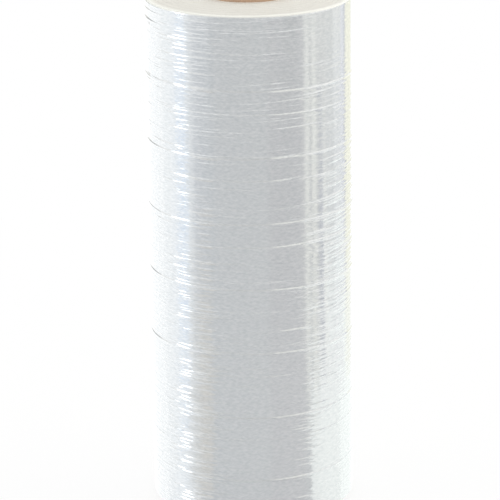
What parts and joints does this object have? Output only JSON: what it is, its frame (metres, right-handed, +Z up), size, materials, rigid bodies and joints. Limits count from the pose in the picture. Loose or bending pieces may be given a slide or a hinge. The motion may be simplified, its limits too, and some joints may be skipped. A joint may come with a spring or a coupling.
{
  "type": "stretch wrap roll",
  "caption": "Machine roll of clear stretch film wound on a cardboard core, standing on end, with a ringed end face and low ridges round its outside.",
  "frame": {"origin": "on the roll's axis, at the floor that the core's lower end stands on", "axes": "+Z up along the core, +X to the right in the picture's view, +Y away from the viewer"},
  "size_m": [0.2012, 0.2012, 0.52],
  "materials": {
    "stretch_film": "clear film in many turns, milky silver-grey, glossy with fine ridges",
    "cardboard_core": "plain brown kraft board, spirally wound, matt"
  },
  "bodies": {
    "root": {"stretch_film": "stretch_film", "cardboard_core": "cardboard_core"}
  },
  "joints": []
}
